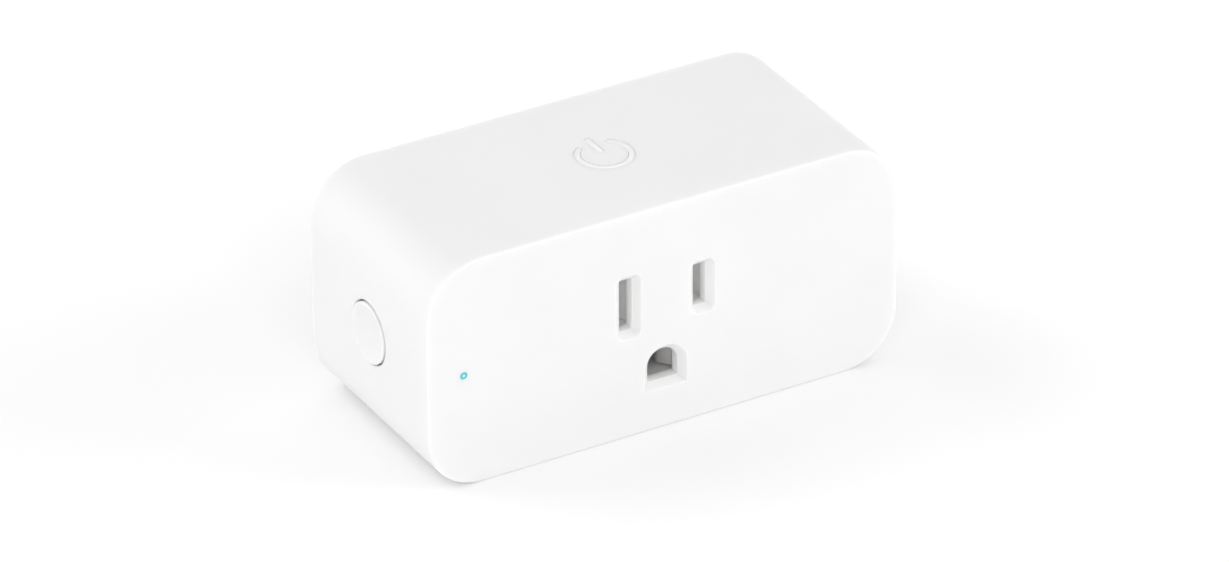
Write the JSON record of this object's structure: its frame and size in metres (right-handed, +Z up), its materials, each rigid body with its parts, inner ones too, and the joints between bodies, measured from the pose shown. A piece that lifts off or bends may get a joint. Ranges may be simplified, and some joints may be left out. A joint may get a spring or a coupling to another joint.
{
  "type": "smart plug",
  "caption": "Plug-in remote switch: a white box with rounded corners, a grounded outlet in front, blades behind, a round side button and a small status light.",
  "frame": {"origin": "middle of the box around the whole plug, at its base", "axes": "+Z up, +X to the right as seen from the outlet side, +Y towards the wall that it plugs into"},
  "size_m": [0.0813, 0.056, 0.038],
  "materials": {
    "shell_white": "fine moulded texture, satin",
    "button_white": "smooth satin",
    "clear_pipe": "clear, lit blue from behind",
    "plug_metal": "nickel plated",
    "contact_metal": "tin plated spring strip",
    "screw_steel": "zinc plated",
    "carrier_plastic": "natural, matt",
    "holder_plastic": "black, matt",
    "fibre_sheet": "pressed fibre",
    "circuit_board": "green solder mask",
    "radio_board": "black solder mask",
    "solder": "bright solder",
    "lead_metal": "tinned",
    "relay_plastic": "black moulded",
    "relay_base": "black moulded",
    "soft_iron": "plated soft iron",
    "bobbin_plastic": "natural nylon",
    "copper_wire": "enamelled copper",
    "spring_copper": "spring copper",
    "ferrite": "ferrite",
    "tape_yellow": "polyester tape",
    "film_box": "potted box",
    "can_sleeve": "shrink sleeve on an aluminium can",
    "disc_blue": "dipped epoxy",
    "disc_orange": "dipped epoxy",
    "resistor_coat": "cement coat",
    "chip_black": "moulded epoxy",
    "chip_pale": "ceramic with tinned ends",
    "shield_metal": "tinned sheet",
    "header_black": "moulded",
    "lamp_white": "moulded lamp",
    "plunger_black": "moulded"
  },
  "bodies": {
    "housing": {"front_shell": "shell_white", "rear_cover": "shell_white", "light_pipe": "clear_pipe", "line_blade": "plug_metal", "neutral_blade": "plug_metal", "ground_pin": "plug_metal", "ground_strap": "contact_metal", "line_contact": "contact_metal", "neutral_contact": "contact_metal", "ground_contact": "contact_metal", "blade_holder": "holder_plastic", "holder_screws": "screw_steel", "carrier_screws": "screw_steel", "board_screws": "screw_steel", "contact_carrier": "carrier_plastic", "carrier_cap": "carrier_plastic", "insulating_sheet": "fibre_sheet", "power_board": "circuit_board", "control_board": "circuit_board", "solder_joints": "solder", "relay_cover": "relay_plastic", "relay_base": "relay_base", "relay_yoke": "soft_iron", "relay_core": "soft_iron", "relay_bobbin": "bobbin_plastic", "relay_winding": "copper_wire", "relay_load_terminal": "spring_copper", "relay_common_terminal": "spring_copper", "relay_coil_pins": "lead_metal", "transformer_core": "ferrite", "transformer_bobbin": "chip_black", "transformer_winding": "tape_yellow", "transformer_pins": "lead_metal", "film_capacitor": "film_box", "bulk_capacitor": "can_sleeve", "output_capacitor": "can_sleeve", "safety_capacitor": "disc_blue", "filter_choke": "ferrite", "varistor": "disc_orange", "fusible_resistor": "resistor_coat", "rectifier": "chip_black", "converter_chip": "chip_black", "relay_driver": "chip_black", "snubber_diodes": "chip_black", "chip_resistors": "chip_black", "chip_capacitors": "chip_pale", "control_chips": "chip_pale", "header_body": "header_black", "header_pins": "lead_metal", "radio_board": "radio_board", "radio_shield": "shield_metal", "radio_chip": "chip_black", "status_lamp": "lamp_white", "switch_body": "shield_metal"},
    "button": {"side_button": "button_white"},
    "plunger": {"switch_plunger": "plunger_black"},
    "armature": {"relay_armature": "soft_iron", "relay_contact_spring": "spring_copper"}
  },
  "joints": [
    {"name": "button_press", "type": "slide", "parent": "housing", "child": "button", "axis": [1, 0, 0], "range_m": [0, 0.0005], "stiffness_N_per_m": 1000, "springref_m": -0.0005},
    {"name": "switch_plunger_press", "type": "slide", "parent": "housing", "child": "plunger", "axis": [1, 0, 0], "range_m": [0, 0.0005]},
    {"name": "relay_armature_pivot", "type": "hinge", "parent": "housing", "child": "armature", "pos_m": [0.0172, -0.0136, 0.02035], "axis": [0, 0, 1], "range_deg": [0, 4.5], "stiffness_Nm_per_rad": 0.05, "springref_deg": -2.86}
  ],
  "couplings": [
    {"joint": "switch_plunger_press", "follows": "button_press", "ratio": 1}
  ]
}
